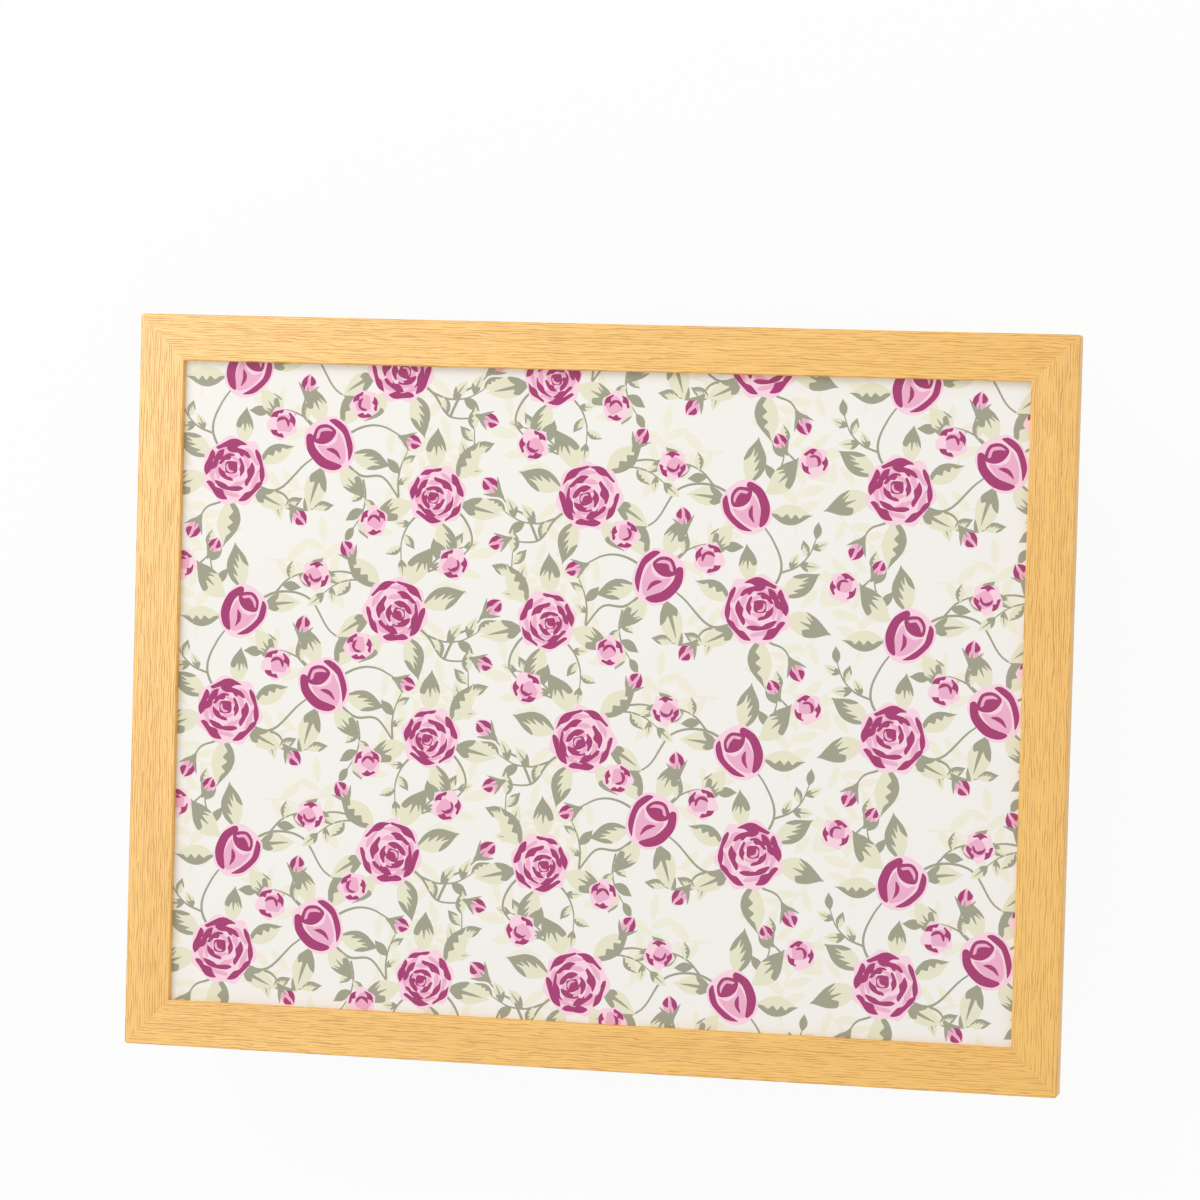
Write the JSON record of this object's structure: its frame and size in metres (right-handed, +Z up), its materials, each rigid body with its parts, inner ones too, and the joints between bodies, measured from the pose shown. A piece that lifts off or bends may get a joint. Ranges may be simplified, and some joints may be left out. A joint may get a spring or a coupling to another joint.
{
  "type": "lap tray with cushion",
  "caption": "Lap tray: a shallow oak-look framed tray with a glossy rose-print panel, held by hook and loop strips on a bead-filled cushion with a zip.",
  "frame": {"origin": "under the middle of the tray, on the surface that the cushion lies on", "axes": "+X along the tray's long side, +Y to its rear edge where the cushion's zip is, +Z up out of the tray"},
  "size_m": [0.45, 0.35, 0.0676],
  "materials": {
    "oak_foil": "satin",
    "gloss_print": "gloss",
    "fibreboard": "matte",
    "zinc_steel": "satin",
    "hook_tape": "matte",
    "loop_tape": "matte",
    "cushion_cotton": "matte",
    "liner_fabric": "matte",
    "bead_fill": "matte",
    "zip_tape": "matte",
    "zip_teeth": "satin",
    "zip_metal": "polished"
  },
  "bodies": {
    "cushion": {"cushion_base_panel": "cushion_cotton", "cushion_side_band": "cushion_cotton", "cushion_top_panel": "cushion_cotton", "zip_band_upper": "cushion_cotton", "zip_band_lower": "cushion_cotton", "bead_liner": "liner_fabric", "bead_filling": "bead_fill", "zip_tape_upper": "zip_tape", "zip_tape_lower": "zip_tape", "zip_teeth_upper": "zip_teeth", "zip_teeth_lower": "zip_teeth", "zip_end_stops": "zip_metal", "loop_strip_front_left": "loop_tape", "loop_strip_front_right": "loop_tape", "loop_strip_rear_left": "loop_tape", "loop_strip_rear_right": "loop_tape"},
    "tray": {"frame_rail_front": "oak_foil", "frame_rail_rear": "oak_foil", "frame_rail_left": "oak_foil", "frame_rail_right": "oak_foil", "corner_v_nails": "zinc_steel", "framing_points": "zinc_steel", "tray_board": "fibreboard", "print_sheet": "gloss_print", "hook_strip_front_left": "hook_tape", "hook_strip_front_right": "hook_tape", "hook_strip_rear_left": "hook_tape", "hook_strip_rear_right": "hook_tape"},
    "zip_slider": {"zip_slider": "zip_metal"},
    "zip_pull": {"zip_pull": "zip_metal"}
  },
  "joints": [
    {"name": "tray_lift", "type": "slide", "parent": "cushion", "child": "tray", "axis": [0, 0, 1], "range_m": [0, 0.12]},
    {"name": "zip_slide", "type": "slide", "parent": "cushion", "child": "zip_slider", "axis": [-1, 0, 0], "range_m": [0, 0.2564]},
    {"name": "zip_pull_turn", "type": "hinge", "parent": "zip_slider", "child": "zip_pull", "pos_m": [0.1282, 0.1542, 0.033], "axis": [0, 0, -1], "range_deg": [0, 180]}
  ]
}
